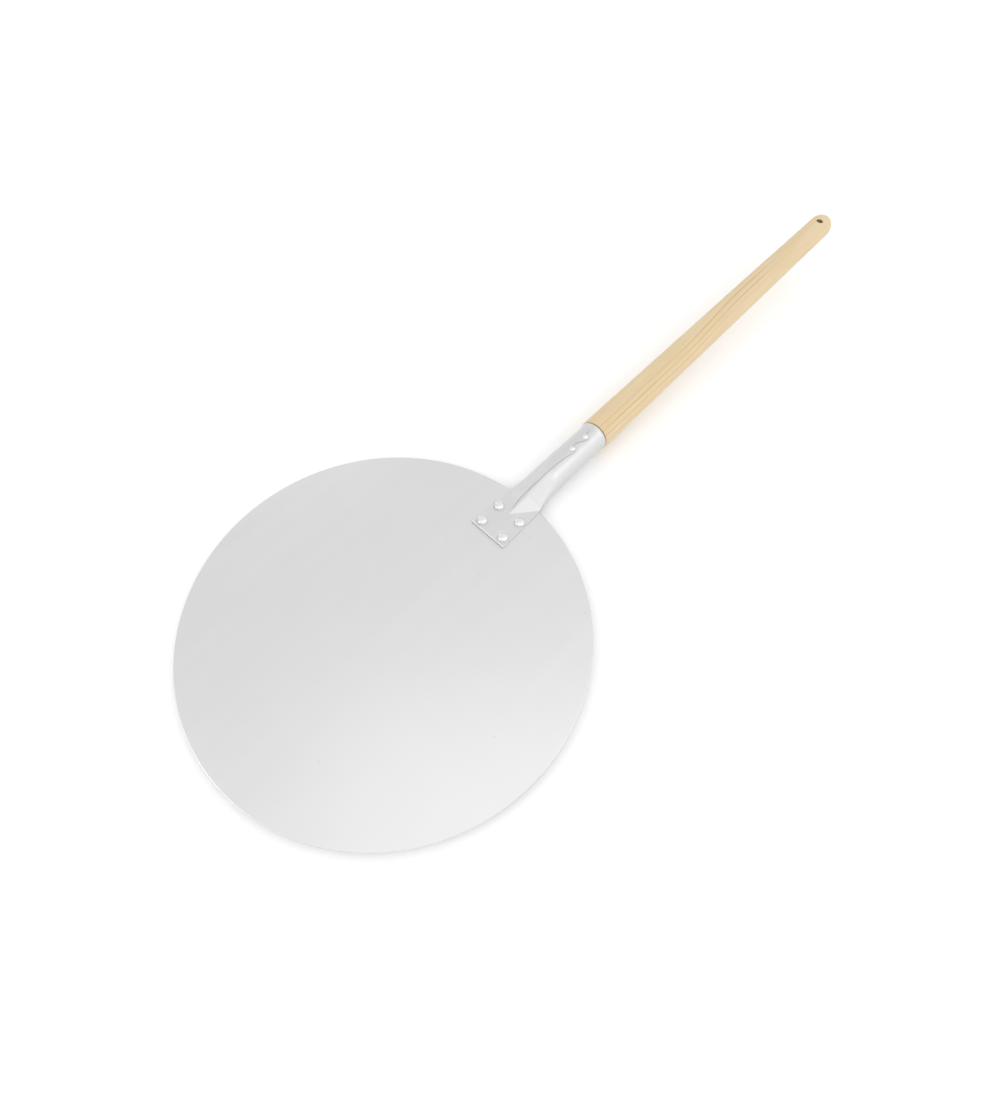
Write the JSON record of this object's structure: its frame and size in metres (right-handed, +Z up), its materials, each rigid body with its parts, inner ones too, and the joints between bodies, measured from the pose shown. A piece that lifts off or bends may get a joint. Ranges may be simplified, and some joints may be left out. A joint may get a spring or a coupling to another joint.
{
  "type": "pizza peel",
  "caption": "Round flat aluminium pizza peel with a riveted rolled-sheet socket and a tapered round wooden handle with a hang hole.",
  "frame": {"origin": "centre of the blade's flat underside", "axes": "+X from the blade's centre towards the handle, +Z up, away from the blade's underside; the handle rises from the blade in the XZ plane"},
  "size_m": [0.8389, 0.3048, 0.0643],
  "materials": {
    "blade_sheet": "satin mill finish",
    "socket_sheet": "satin mill finish, slightly dented by forming",
    "rivet_metal": "bright formed heads",
    "nail_metal": "bright zinc-plated domed heads",
    "handle_wood": "fine-sanded pale wood, unvarnished"
  },
  "bodies": {
    "root": {"blade": "blade_sheet", "socket": "socket_sheet", "handle": "handle_wood", "rivet_front_left": "rivet_metal", "rivet_front_right": "rivet_metal", "rivet_rear_left": "rivet_metal", "rivet_rear_right": "rivet_metal", "nail_front": "nail_metal", "nail_rear": "nail_metal"}
  },
  "joints": []
}
